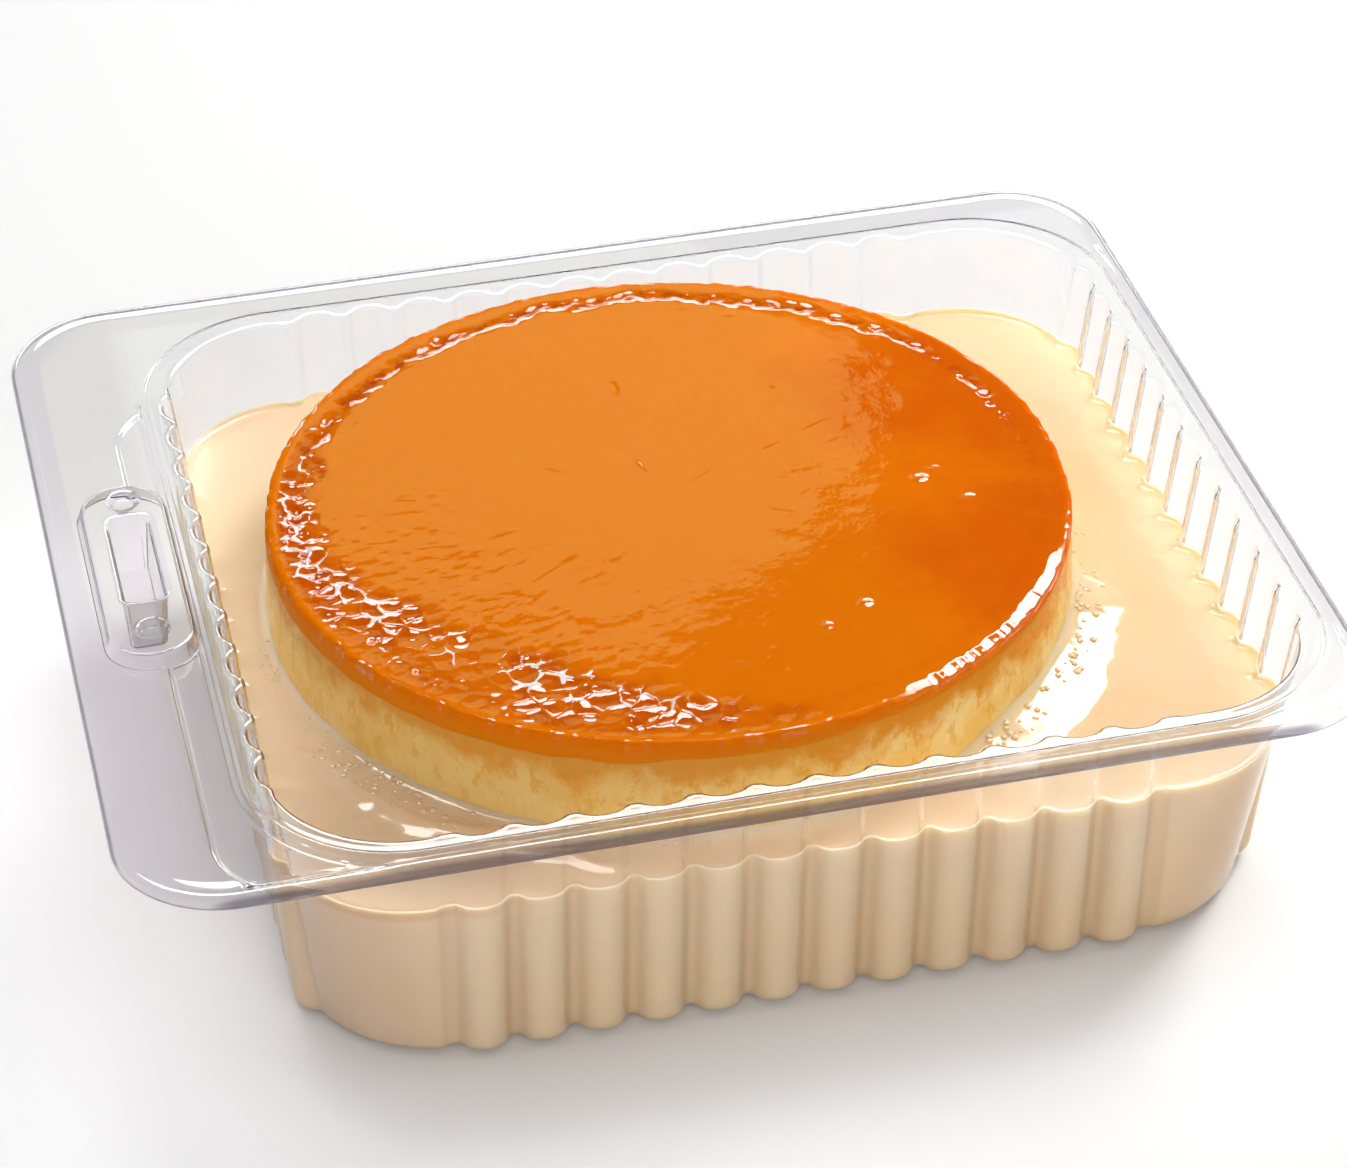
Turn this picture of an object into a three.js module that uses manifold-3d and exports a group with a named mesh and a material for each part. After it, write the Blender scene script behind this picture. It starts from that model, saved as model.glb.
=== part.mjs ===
// Creme caramel flan in its clear ribbed tray, standing in milk sauce. Millimetres, +Z up.
// The origin is on the underside of the tray's floor, at the middle of the ribbed basin.
// +X runs along the long side, away from the wide rim that carries the lid's snap lock.
import * as THREE from 'three';
import { mergeVertices } from 'three/addons/utils/BufferGeometryUtils.js';
import Module from 'manifold-3d';

// Clear formed tray
const WALL = 0.5; // thickness of the formed sheet
const GAP = 0.3; // clearance between neighbouring pieces
const RIM_HEIGHT = 55.2; // top of the raised collar round the opening
const BASIN_HALF_X = 95.9; // outer face of the rib crowns under the rim
const BASIN_HALF_Y = 85.2;
const DRAFT = { back: 4.6, left: 3.5, front: 4, right: 6.2 }; // each side's lean, from rim to floor
const CORNER_TOP = 24; // radius of the plain corners under the rim
const CORNER_FOOT = 26; // and at the floor
const SINK_TOP = 1.2; // the plain corners lie behind the rib crowns by this much under the rim
const SINK_FOOT = 2; // and at the floor
const FOOT_RADIUS = 3.2; // rounding between the walls and the floor
const RIBS_PER_SIDE = 12;
const RIB_PITCH = 10.7;
const RIB_DEPTH_TOP = 1.8; // the ribs deepen from the rim to the floor
const RIB_DEPTH_FOOT = 2.7;
const VALLEY_WIDTH = 3.3; // flat valley between two ribs
const CROWN_WIDTH = 3.4; // outermost face of a rib
const RIB_LEAD = 1.4; // from the last valley out to the plain corner
const CORNER_STEPS = 5;
const ARC_MARGIN = 0.04; // share of the radius left free between the ribs and a corner's arc
const RIB_CENTRE_X = -2; // the ribs of the long sides are centred a little to the left
const CLEAR_ABOVE = 1; // how far a cutting solid runs past the face it cuts through
const ROUND_MIDDLE = 1 - Math.SQRT1_2; // share of its radius that a quarter round draws in halfway

// Flange, collar and snap lock
const FLANGE_LEFT = -122.9;
const FLANGE_RIGHT = 103.6;
const FLANGE_FRONT = -91;
const FLANGE_BACK = 98.8;
const FLANGE_CORNER = 20;
const FLANGE_TOP = 54.4;
const LIP_DROP = 1.5; // the flange's edge turns down by this much
const LIP_RADIUS = 1.4;
const COLLAR_WIDTH = 2.6; // raised collar outside the rib crowns
const LEDGE = { left: -105.8, right: -70, front: -88, back: 61, corner: 13, depth: 1 };
const LOCK = { left: -116.4, right: -98.5, front: -25, back: 31, corner: 8.5, height: 2.8 };
const POCKET = { left: -112.6, right: -102.2, front: -8.2, back: 21, corner: 3, depth: 11.5 };
const DIMPLE = { x: -107.5, front: -16.1, back: 25.4, radius: 3.3, depth: 1.2 };

// Sauce and flan
const SAUCE_LEVEL = 35.8;
const FLAN_X = -7.2; // the flan stands a little left of the basin's middle
const FLAN_Y = 2.9;
const FLAN_TOP = 56.7;
const CARAMEL_THICKNESS = 4;
const FLAN_SEGMENTS = 60;
// Radius and height pairs up the side of the custard, from its foot to the caramel
const CUSTARD_SIDE = [[70.5, 0.8], [73.4, 3.6], [74.6, 9], [75.6, 22], [76.9, 37], [76.4, 46], [75.8, 52.4]];
// Draw-in and height pairs up the caramel's rounded edge
const CARAMEL_EDGE = [[0, 0], [0.2, 1.8], [1, 3.2], [2.6, CARAMEL_THICKNESS]];

const wasm = await Module();
wasm.setup();

function toManifold(geometry) {
  const bare = geometry.clone();
  bare.deleteAttribute('normal');
  bare.deleteAttribute('uv');
  const merged = mergeVertices(bare, 1e-4);
  return new wasm.Manifold(new wasm.Mesh({
    numProp: 3,
    vertProperties: new Float32Array(merged.attributes.position.array),
    triVerts: new Uint32Array(merged.index.array),
  }));
}

function toGeometry(solid) {
  const mesh = solid.getMesh();
  const geometry = new THREE.BufferGeometry();
  geometry.setAttribute('position', new THREE.BufferAttribute(mesh.vertProperties, 3));
  geometry.setIndex(new THREE.BufferAttribute(mesh.triVerts, 1));
  geometry.computeVertexNormals();
  return geometry;
}

// Moves every edge of an anticlockwise outline inwards by the same distance.
function shrink(outline, distance) {
  return outline.map((point, i) => {
    const before = outline[(i + outline.length - 1) % outline.length];
    const after = outline[(i + 1) % outline.length];
    const a = point.clone().sub(before).normalize();
    const b = after.clone().sub(point).normalize();
    const normal = new THREE.Vector2(a.y + b.y, -a.x - b.x);
    return point.clone().addScaledVector(normal, -distance / (1 + a.dot(b)));
  });
}

function roundedBox(left, right, front, back, radius, steps = 6) {
  const corners = [[right, back, 0], [left, back, 1], [left, front, 2], [right, front, 3]];
  const points = [];
  for (const [x, y, quarter] of corners) {
    const cx = x - Math.sign(x - left - (right - left) / 2) * radius;
    const cy = y - Math.sign(y - front - (back - front) / 2) * radius;
    for (let i = 0; i <= steps; i += 1) {
      const angle = (quarter + i / steps) * Math.PI / 2;
      points.push(new THREE.Vector2(cx + radius * Math.cos(angle), cy + radius * Math.sin(angle)));
    }
  }
  return points;
}

function circle(x, y, radius, steps = 20) {
  const angles = Array.from({ length: steps }, (_, i) => i / steps * Math.PI * 2);
  return angles.map((angle) => new THREE.Vector2(
    x + radius * Math.cos(angle),
    y + radius * Math.sin(angle),
  ));
}

// Stations along one side's ribs, each with the share of the rib depth it lies behind the crowns.
function ribRun() {
  const run = [];
  const start = -RIBS_PER_SIDE * RIB_PITCH / 2;
  for (let rib = 0; rib <= RIBS_PER_SIDE; rib += 1) {
    const valley = start + rib * RIB_PITCH;
    run.push([valley - VALLEY_WIDTH / 2, 1], [valley + VALLEY_WIDTH / 2, 1]);
    if (rib < RIBS_PER_SIDE) {
      const crown = valley + RIB_PITCH / 2;
      run.push([crown - CROWN_WIDTH / 2, 0], [crown + CROWN_WIDTH / 2, 0]);
    }
  }
  return run;
}

// The basin's outer outline under the rim (drop 0) or at the floor (drop 1), drawn in by `pull`:
// four ribbed sides, each followed by a plain round corner that lies a little behind the crowns.
function endOutline(drop, pull) {
  const ribDepth = THREE.MathUtils.lerp(RIB_DEPTH_TOP, RIB_DEPTH_FOOT, drop);
  const sink = THREE.MathUtils.lerp(SINK_TOP, SINK_FOOT, drop);
  const radius = THREE.MathUtils.lerp(CORNER_TOP, CORNER_FOOT, drop) - pull;
  const sides = [
    { reach: BASIN_HALF_Y - DRAFT.back * drop - pull, normal: [0, 1], middle: -RIB_CENTRE_X },
    { reach: BASIN_HALF_X - DRAFT.left * drop - pull, normal: [-1, 0], middle: 0 },
    { reach: BASIN_HALF_Y - DRAFT.front * drop - pull, normal: [0, -1], middle: RIB_CENTRE_X },
    { reach: BASIN_HALF_X - DRAFT.right * drop - pull, normal: [1, 0], middle: 0 },
  ];
  const runEnd = (RIBS_PER_SIDE * RIB_PITCH + VALLEY_WIDTH) / 2 + RIB_LEAD;
  const sag = (past) => (past > 0 ? radius - Math.sqrt(radius ** 2 - past ** 2) : 0);
  return sides.flatMap(({ reach, normal, middle }, i) => {
    const [nx, ny] = normal;
    const point = (along, out) => new THREE.Vector2(nx * out - ny * along, ny * out + nx * along);
    const next = sides[(i + 1) % 4];
    const centreAhead = next.reach - sink - radius;
    const centreBehind = sides[(i + 3) % 4].reach - sink - radius;
    const centreOut = reach - sink - radius;
    const plain = (along) => sink + sag(along - centreAhead) + sag(-along - centreBehind);
    const ribs = ribRun().map(([along, share]) => {
      const s = middle + along;
      return point(s, reach - (share > 0 ? Math.max(ribDepth, plain(s)) : 0));
    });
    const lead = [middle - runEnd, middle + runEnd].map((s) => point(s, reach - plain(s)));
    const first = Math.asin(Math.max(0, (middle + runEnd - centreAhead) / radius + ARC_MARGIN));
    const last = Math.acos(Math.max(0, (runEnd - next.middle - centreOut) / radius + ARC_MARGIN));
    const arc = Array.from({ length: CORNER_STEPS + 1 }, (_, k) => {
      const angle = THREE.MathUtils.lerp(first, last, k / CORNER_STEPS);
      return point(centreAhead + radius * Math.sin(angle), centreOut + radius * Math.cos(angle));
    });
    return [lead[0], ...ribs, lead[1], ...arc];
  });
}

// The outline at a height: every point runs in a straight line from the floor to the rim.
function basinOutline(height, pull) {
  const top = endOutline(0, pull);
  return endOutline(1, pull).map((point, i) => point.lerp(top[i], height / RIM_HEIGHT));
}

// A closed solid through outlines of equal length, each at its own height.
function loft(rings) {
  const count = rings[0].outline.length;
  const positions = rings.flatMap(({ outline, z }) => outline.flatMap((p) => [p.x, p.y, z]));
  const index = [];
  for (let ring = 0; ring < rings.length - 1; ring += 1) {
    for (let i = 0; i < count; i += 1) {
      const a = ring * count + i;
      const b = ring * count + (i + 1) % count;
      index.push(a, b, b + count, a, b + count, a + count);
    }
  }
  const top = (rings.length - 1) * count;
  for (const [a, b, c] of THREE.ShapeUtils.triangulateShape(rings[0].outline, [])) index.push(a, c, b);
  for (const [a, b, c] of THREE.ShapeUtils.triangulateShape(rings.at(-1).outline, [])) {
    index.push(top + a, top + b, top + c);
  }
  const geometry = new THREE.BufferGeometry();
  geometry.setAttribute('position', new THREE.Float32BufferAttribute(positions, 3));
  geometry.setIndex(index);
  return toManifold(geometry);
}

const prism = (outline, low, high) => loft([{ outline, z: low }, { outline, z: high }]);
const boxPrism = (box, grow, low, high) => prism(
  roundedBox(box.left - grow, box.right + grow, box.front - grow, box.back + grow, box.corner + grow),
  low,
  high,
);

// The space inside the basin, moved in from its outer face by `inset` and filled up to `top`.
function basinSolid(inset, floor, top) {
  const foot = FOOT_RADIUS - inset;
  const middle = foot * ROUND_MIDDLE;
  const rings = [[foot, 0], [middle, middle], [0, foot], [0, top - floor]].map(([pull, lift]) => ({
    outline: shrink(basinOutline(floor + lift, pull), inset),
    z: floor + lift,
  }));
  return loft(rings);
}

function flangePlate(inset, low, top) {
  const ring = (pull, z) => ({
    outline: roundedBox(
      FLANGE_LEFT + pull,
      FLANGE_RIGHT - pull,
      FLANGE_FRONT + pull,
      FLANGE_BACK - pull,
      FLANGE_CORNER - pull,
    ),
    z,
  });
  const turn = LIP_RADIUS - inset;
  return loft([
    ring(inset, low),
    ring(inset, top - turn),
    ring(inset + turn * ROUND_MIDDLE, top - turn * ROUND_MIDDLE),
    ring(inset + turn, top),
  ]);
}

function makeTray() {
  const collar = { left: -BASIN_HALF_X, right: BASIN_HALF_X, front: -BASIN_HALF_Y, back: BASIN_HALF_Y };
  const collarBox = { ...collar, corner: CORNER_TOP };
  const underside = FLANGE_TOP - WALL;
  const lockTop = FLANGE_TOP + LOCK.height;
  const pocketFloor = lockTop - POCKET.depth;

  let sheet = flangePlate(0, FLANGE_TOP - LIP_DROP, FLANGE_TOP)
    .subtract(flangePlate(WALL, FLANGE_TOP - LIP_DROP - CLEAR_ABOVE, underside))
    .add(boxPrism(LEDGE, WALL, underside - LEDGE.depth, FLANGE_TOP))
    .subtract(boxPrism(LEDGE, 0, FLANGE_TOP - LEDGE.depth, FLANGE_TOP + CLEAR_ABOVE))
    .add(boxPrism(collarBox, COLLAR_WIDTH, underside - LEDGE.depth, RIM_HEIGHT))
    .add(boxPrism(LOCK, 0, underside - LEDGE.depth, lockTop))
    .subtract(boxPrism(LOCK, -WALL, underside - LEDGE.depth - CLEAR_ABOVE, lockTop - WALL))
    .add(boxPrism(POCKET, WALL, pocketFloor - WALL, lockTop))
    .subtract(boxPrism(POCKET, 0, pocketFloor, lockTop + CLEAR_ABOVE));
  const dimpleFloor = lockTop - DIMPLE.depth;
  for (const y of [DIMPLE.front, DIMPLE.back]) {
    sheet = sheet
      .add(prism(circle(DIMPLE.x, y, DIMPLE.radius + WALL), dimpleFloor - WALL, lockTop))
      .subtract(prism(circle(DIMPLE.x, y, DIMPLE.radius), dimpleFloor, lockTop + CLEAR_ABOVE));
  }
  return sheet
    .add(basinSolid(0, 0, RIM_HEIGHT))
    .subtract(basinSolid(WALL, WALL, RIM_HEIGHT + CLEAR_ABOVE));
}

function lathe(profile) {
  const points = profile.map(([radius, height]) => new THREE.Vector2(radius, height));
  const geometry = new THREE.LatheGeometry(points, FLAN_SEGMENTS);
  geometry.rotateX(Math.PI / 2);
  geometry.translate(FLAN_X, FLAN_Y, 0);
  return geometry;
}

function makeCustard() {
  const top = FLAN_TOP - CARAMEL_THICKNESS - GAP;
  return lathe([[0, CUSTARD_SIDE[0][1]], ...CUSTARD_SIDE, [0, top]]);
}

function makeCaramel() {
  const bottom = FLAN_TOP - CARAMEL_THICKNESS;
  const edge = CUSTARD_SIDE.at(-1)[0];
  const side = CARAMEL_EDGE.map(([drawIn, height]) => [edge - drawIn, bottom + height]);
  return lathe([[0, bottom], ...side, [0, FLAN_TOP]]);
}

// The sauce fills the basin up to its level, round the foot of the flan.
function makeSauce() {
  const hollow = CUSTARD_SIDE.map(([radius, height]) => [radius + GAP, height]);
  const below = WALL - CLEAR_ABOVE;
  const hole = lathe([[0, below], [hollow[0][0], below], ...hollow, [0, hollow.at(-1)[1]]]);
  const edges = { left: FLANGE_LEFT, right: FLANGE_RIGHT, front: FLANGE_FRONT, back: FLANGE_BACK };
  const past = RIM_HEIGHT + CLEAR_ABOVE;
  const air = boxPrism({ ...edges, corner: FLANGE_CORNER }, 0, SAUCE_LEVEL, past + CLEAR_ABOVE);
  return basinSolid(WALL + GAP, WALL + GAP, past).subtract(air).subtract(toManifold(hole));
}

const clearPlastic = new THREE.MeshStandardMaterial({
  color: 0xe8ecf0,
  roughness: 0.08,
  metalness: 0,
  transparent: true,
  opacity: 0.35,
});
const milkSauce = new THREE.MeshStandardMaterial({ color: 0xf0dcb8, roughness: 0.3, metalness: 0 });
const custardYellow = new THREE.MeshStandardMaterial({ color: 0xf0d690, roughness: 0.45, metalness: 0 });
const caramelOrange = new THREE.MeshStandardMaterial({ color: 0xd9741e, roughness: 0.12, metalness: 0 });

const flan = new THREE.Group();
for (const [name, geometry, material] of [
  ['tray', toGeometry(makeTray()), clearPlastic],
  ['milk_sauce', toGeometry(makeSauce()), milkSauce],
  ['custard', makeCustard(), custardYellow],
  ['caramel_layer', makeCaramel(), caramelOrange],
]) {
  const mesh = new THREE.Mesh(geometry, material);
  mesh.name = name;
  flan.add(mesh);
}

export default flan;
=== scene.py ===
"""Looks of a creme caramel flan standing in milk sauce in a clear ribbed tray.

Shapes are worked out in millimetres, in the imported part's frame, and become metres in the mesh.
"""

import math

import bmesh
import bpy
import numpy as np
from mathutils import Matrix, Vector
from mathutils.geometry import delaunay_2d_cdt


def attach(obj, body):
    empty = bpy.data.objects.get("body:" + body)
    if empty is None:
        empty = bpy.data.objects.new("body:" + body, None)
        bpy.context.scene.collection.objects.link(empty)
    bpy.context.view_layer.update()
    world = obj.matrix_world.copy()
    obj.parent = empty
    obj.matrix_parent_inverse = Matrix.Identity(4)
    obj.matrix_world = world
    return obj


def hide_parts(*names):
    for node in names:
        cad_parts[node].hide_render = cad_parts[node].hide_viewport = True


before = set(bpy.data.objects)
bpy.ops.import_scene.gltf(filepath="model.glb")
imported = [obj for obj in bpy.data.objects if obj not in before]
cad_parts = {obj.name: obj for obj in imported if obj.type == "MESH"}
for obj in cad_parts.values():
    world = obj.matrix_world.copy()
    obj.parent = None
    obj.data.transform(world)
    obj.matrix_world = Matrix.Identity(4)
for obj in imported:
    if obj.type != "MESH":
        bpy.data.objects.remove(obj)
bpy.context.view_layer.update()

MM = 0.001
IMAGE_WIDTH = 1347

# Clear tray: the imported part's sizes, apart from slightly deeper ribs, a ledge that runs on to the
# front lip, and a lock and pocket up to 0.8 mm narrower
WALL = 0.5
RIM_HEIGHT = 55.2
HALF_X, HALF_Y = 95.9, 85.2
DRAFT = {"back": 4.6, "left": 3.5, "front": 4.0, "right": 6.2}
CORNER_TOP, CORNER_FOOT = 24.0, 26.0
SINK_TOP, SINK_FOOT = 1.2, 2.0
FOOT_RADIUS = 3.2
RIBS_PER_SIDE = 12
RIB_PITCH = 10.7
RIB_DEPTH_TOP, RIB_DEPTH_FOOT = 1.9, 2.9
VALLEY_WIDTH = 3.3
RIB_LEAD = 1.4
RIB_CENTRE_X = -2.0
FLANGE_BOX = (-122.9, 103.6, -91.0, 98.8)
FLANGE_CORNER = 20.0
FLANGE_UNDER = 53.9
COLLAR_WIDTH = 2.6
LEDGE_BOX, LEDGE_CORNER, LEDGE_DEPTH = (-106.6, -60.0, -92.0, 61.5), 15.0, 0.8
LOCK_BOX, LOCK_CORNER, LOCK_HEIGHT = (-116.4, -99.3, -25.0, 31.0), 8.2, 2.78
POCKET_BOX, POCKET_CORNER, POCKET_DEPTH = (-112.6, -102.4, -8.2, 21.0), 3.0, 11.5
DIMPLE_X, DIMPLE_YS, DIMPLE_RADIUS, DIMPLE_DEPTH = -107.5, (-16.1, 25.4), 3.3, 1.2

# Sauce and flan
SAUCE_LEVEL = 35.8
FLAN_X, FLAN_Y = -7.2, 2.9
FLAN_TOP = 56.7
CUSTARD_SIDE = [(70.5, 0.5), (73.4, 3.6), (74.6, 9), (75.6, 22), (76.9, 37), (76.4, 46), (75.8, 52.4)]
CUSTARD_TOP = 54.6
SIDE_RADIUS = 76

QUARTER_TURN = np.radians([0, 18, 36, 54, 72, 90])


def smooth(low, high, value):
    """0 below low, 1 above high, and the curve t * t * (3 - 2 t) between them."""
    t = np.clip((value - low) / (high - low), 0, 1)
    return t * t * (3 - 2 * t)


def lattice_noise(x, y, seed):
    """Smooth noise from -1 to 1: random values on a square lattice of step 1, blended by a fade
    curve between the four nearest."""
    table = np.random.default_rng(seed).uniform(-1, 1, (64, 64))
    xi, yi = np.floor(x).astype(int), np.floor(y).astype(int)
    fx, fy = smooth(0, 1, x - xi), smooth(0, 1, y - yi)
    near = table[xi % 64, yi % 64] * (1 - fx) + table[(xi + 1) % 64, yi % 64] * fx
    far = table[xi % 64, (yi + 1) % 64] * (1 - fx) + table[(xi + 1) % 64, (yi + 1) % 64] * fx
    return near * (1 - fy) + far * fy


def rough_noise(x, y, seed, layers=3):
    """Layers of lattice noise, each twice as fine and half as strong as the one before."""
    return sum(lattice_noise(x * 2 ** k + 7 * k, y * 2 ** k, seed + k) / 2 ** k for k in range(layers))


def grid_quads(rows, columns, around=True, first=0):
    """Quads between the points of a grid that is listed row by row. With around, the last column
    joins the first. Rows that rise while columns run anticlockwise face outwards."""
    row = np.arange(rows - 1)[:, None] * columns + first
    column = np.arange(columns if around else columns - 1)[None, :]
    after = (column + 1) % columns
    above = row + columns
    return np.stack([row + column, row + after, above + after, above + column], -1).reshape(-1, 4)


def new_piece(name, points, faces):
    """A smooth-shaded mesh object from points in millimetres and a list of face arrays."""
    corners = np.concatenate([f.ravel() for f in faces]).astype(np.int32)
    sizes = np.concatenate([np.full(len(f), f.shape[1]) for f in faces])
    mesh = bpy.data.meshes.new(name)
    mesh.vertices.add(len(points))
    mesh.vertices.foreach_set("co", (np.asarray(points, float) * MM).astype(np.float32).ravel())
    mesh.loops.add(len(corners))
    mesh.loops.foreach_set("vertex_index", corners)
    mesh.polygons.add(len(sizes))
    mesh.polygons.foreach_set("loop_start", np.concatenate([[0], np.cumsum(sizes)[:-1]]).astype(np.int32))
    mesh.polygons.foreach_set("use_smooth", np.ones(len(sizes), bool))
    mesh.update(calc_edges=True)
    mesh.validate()
    piece = bpy.data.objects.new(name, mesh)
    bpy.context.scene.collection.objects.link(piece)
    return piece


def add_values(piece, name, values):
    """Stores one number a vertex, which the piece's material reads by that name."""
    layer = piece.data.attributes.new(name, "FLOAT", "POINT")
    layer.data.foreach_set("value", np.asarray(values, np.float32))


# ---------------------------------------------------------------- tray outlines

SIDES = [
    {"half": HALF_Y, "draft": DRAFT["back"], "normal": (0, 1), "middle": -RIB_CENTRE_X},
    {"half": HALF_X, "draft": DRAFT["left"], "normal": (-1, 0), "middle": 0.0},
    {"half": HALF_Y, "draft": DRAFT["front"], "normal": (0, -1), "middle": RIB_CENTRE_X},
    {"half": HALF_X, "draft": DRAFT["right"], "normal": (1, 0), "middle": 0.0},
]
RUN_END = (RIBS_PER_SIDE * RIB_PITCH + VALLEY_WIDTH) / 2 + RIB_LEAD
STEPS_PER_RIB = 18
CORNER_STEPS = 20
ARC_MARGIN = 0.04
ROUNDING_SAMPLES = 95


def rib_run():
    """Stations along a side's ribs and their share of the rib depth, 0 on a crown and 1 in a
    valley. Across, a rib is half an ellipse, and a running mean rounds its two creases."""
    count = RIBS_PER_SIDE * STEPS_PER_RIB
    reach = RIBS_PER_SIDE * RIB_PITCH / 2
    along = np.concatenate([[-RUN_END, -RUN_END + RIB_LEAD / 2, -RUN_END + RIB_LEAD],
                            np.linspace(-reach, reach, count + 1),
                            [RUN_END - RIB_LEAD, RUN_END - RIB_LEAD / 2, RUN_END]])
    fine = np.linspace(-RUN_END - 2, RUN_END + 2, 6001)
    from_crown = np.abs((fine / RIB_PITCH) % 1 - 0.5) * RIB_PITCH
    half_width = (RIB_PITCH - VALLEY_WIDTH) / 2 + 0.5
    bulge = np.sqrt(np.clip(1 - (from_crown / half_width) ** 2, 0, 1)) * (np.abs(fine) < reach)
    window = np.hanning(ROUNDING_SAMPLES)
    bulge = np.convolve(bulge, window / window.sum(), mode="same")
    return along, 1 - np.interp(along, fine, bulge)


def end_outline(drop, ribbed=True):
    """The basin's outer outline under the rim (drop 0) or at the floor (drop 1), and the outward
    direction at each point. Each side is a row of ribs, then a plain arc round the corner that
    lies `sink` behind the crowns. Without ribs, the runs lie on the line of the crowns."""
    rib_depth = RIB_DEPTH_TOP + (RIB_DEPTH_FOOT - RIB_DEPTH_TOP) * drop
    sink = SINK_TOP + (SINK_FOOT - SINK_TOP) * drop
    radius = CORNER_TOP + (CORNER_FOOT - CORNER_TOP) * drop
    reaches = [side["half"] - side["draft"] * drop for side in SIDES]
    along, share = rib_run()
    points, outward = [], []
    for i, side in enumerate(SIDES):
        normal = np.array(side["normal"], float)
        tangent = np.array([-normal[1], normal[0]])
        middle, after = side["middle"], SIDES[(i + 1) % 4]
        ahead = reaches[(i + 1) % 4] - sink - radius
        behind = reaches[(i + 3) % 4] - sink - radius
        centre_out = reaches[i] - sink - radius
        s = middle + along
        past = np.where(s > 0, np.maximum(s - ahead, 0), np.minimum(s + behind, 0))
        plain = sink + radius - np.sqrt(radius ** 2 - past ** 2)
        lead = smooth(RUN_END - RIB_LEAD, RUN_END, np.abs(along))
        depth = share * np.maximum(rib_depth, plain) * (1 - lead) + plain * lead
        if not ribbed:
            depth = radius + sink - np.sqrt((radius + sink) ** 2 - past ** 2)
        points.append(normal * (reaches[i] - depth)[:, None] + tangent * s[:, None])
        lean = np.arcsin(past / radius)[:, None]
        outward.append(normal * np.cos(lean) + tangent * np.sin(lean))
        first = math.asin(max(0, (middle + RUN_END - ahead) / radius + ARC_MARGIN))
        last = math.acos(max(0, (RUN_END - after["middle"] - centre_out) / radius + ARC_MARGIN))
        angle = np.linspace(first, last, CORNER_STEPS + 1)[:, None]
        radial = tangent * np.sin(angle) + normal * np.cos(angle)
        centre = tangent * ahead + normal * centre_out
        points.append(centre + radial * (radius if ribbed else radius + sink))
        outward.append(radial)
    return np.concatenate(points), np.concatenate(outward)


FOOT_POINTS, FOOT_OUT = end_outline(1)
TOP_POINTS, TOP_OUT = end_outline(0)
COLLAR_POINTS, COLLAR_OUT = end_outline(0, ribbed=False)
STATIONS = len(TOP_POINTS)


def wall_ring(height, shift):
    """The outline at a height, moved outwards by shift: a straight blend from floor to rim."""
    share = height / RIM_HEIGHT
    outward = FOOT_OUT * (1 - share) + TOP_OUT * share
    flat = FOOT_POINTS * (1 - share) + TOP_POINTS * share + outward * shift
    return np.column_stack([flat, np.full(STATIONS, height)])


def closing_ring(height, shift, fall):
    """A wall ring near the rim, where each valley runs out on a slope: its depth is the softer
    lesser of the rib's depth and a line that grows with the fall from the collar's crest."""
    depth = np.hypot(*(COLLAR_POINTS - TOP_POINTS).T) + 1e-3
    limit = CLOSING_SLOPE * max(fall - CLOSING_START, 0.02)
    kept = (depth ** -6 + limit ** -6) ** (-1 / 6) / depth
    ring = wall_ring(height, shift)
    ring[:, :2] += (COLLAR_POINTS - TOP_POINTS) * (1 - kept)[:, None]
    return ring


def collar_ring(shift, height):
    """The plain line of the rib crowns under the rim, moved outwards by shift."""
    return np.column_stack([COLLAR_POINTS + COLLAR_OUT * shift, np.full(STATIONS, height)])


def rounded_box(box, radius, inset, spacing, corner_steps):
    """Points anticlockwise round a box with quarter-circle corners, drawn in by inset."""
    left, right, front, back = box[0] + inset, box[1] - inset, box[2] + inset, box[3] - inset
    radius = max(radius - inset, 0.3)
    points = []
    centres = [(right - radius, back - radius), (left + radius, back - radius),
               (left + radius, front + radius), (right - radius, front + radius)]
    for quarter, centre in enumerate(centres):
        angle = (quarter + np.linspace(0, 1, corner_steps + 1)) * math.pi / 2
        arc = np.array(centre) + radius * np.column_stack([np.cos(angle), np.sin(angle)])
        after = centres[(quarter + 1) % 4] + radius * np.array(
            [math.cos((quarter + 1) * math.pi / 2), math.sin((quarter + 1) * math.pi / 2)])
        run = np.linalg.norm(after - arc[-1])
        between = np.linspace(0, 1, max(2, int(run / spacing)) + 1)[1:-1, None]
        points += [arc, arc[-1] * (1 - between) + after * between]
    return np.concatenate(points)


def box_distance(x, y, box, radius):
    """Distance outside (+) or inside (-) the edge of a box with round corners."""
    cx, cy = (box[0] + box[1]) / 2, (box[2] + box[3]) / 2
    dx = np.abs(x - cx) - (box[1] - box[0]) / 2 + radius
    dy = np.abs(y - cy) - (box[3] - box[2]) / 2 + radius
    return np.hypot(np.maximum(dx, 0), np.maximum(dy, 0)) + np.minimum(np.maximum(dx, dy), 0) - radius


WALL_HEIGHTS = (12, 22, 32, 42, 48.5)
CLOSING_SLOPE, CLOSING_START = 4.8, 0.44
# Each row's shift outwards from the rib crowns and its fall from the collar's crest
CLOSING_ROWS = [(0, 2.8), (0, 2.1), (0, 1.6), (0, 1.25), (0.03, 1.0), (0.1, 0.81), (0.22, 0.66),
                (0.4, 0.54), (0.62, 0.45)]
COLLAR_ROWS = [(0.9, 0.37), (1.2, 0.3), (1.5, 0.235), (1.75, 0.18), (1.95, 0.14), (2.12, 0.12),
               (2.28, 0.16), (2.44, 0.27), (2.6, 0.43), (2.8, 0.62), (3.0, 0.75)]
LIP_START, LIP_FALL = 2.0, 0.35
FLANGE_START = COLLAR_WIDTH + 0.6
COLLAR_BOX = (-HALF_X - FLANGE_START, HALF_X + FLANGE_START, -HALF_Y - FLANGE_START, HALF_Y + FLANGE_START)
COLLAR_CORNER = CORNER_TOP + SINK_TOP + FLANGE_START
LOCK_SLOPE = 1.3
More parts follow.
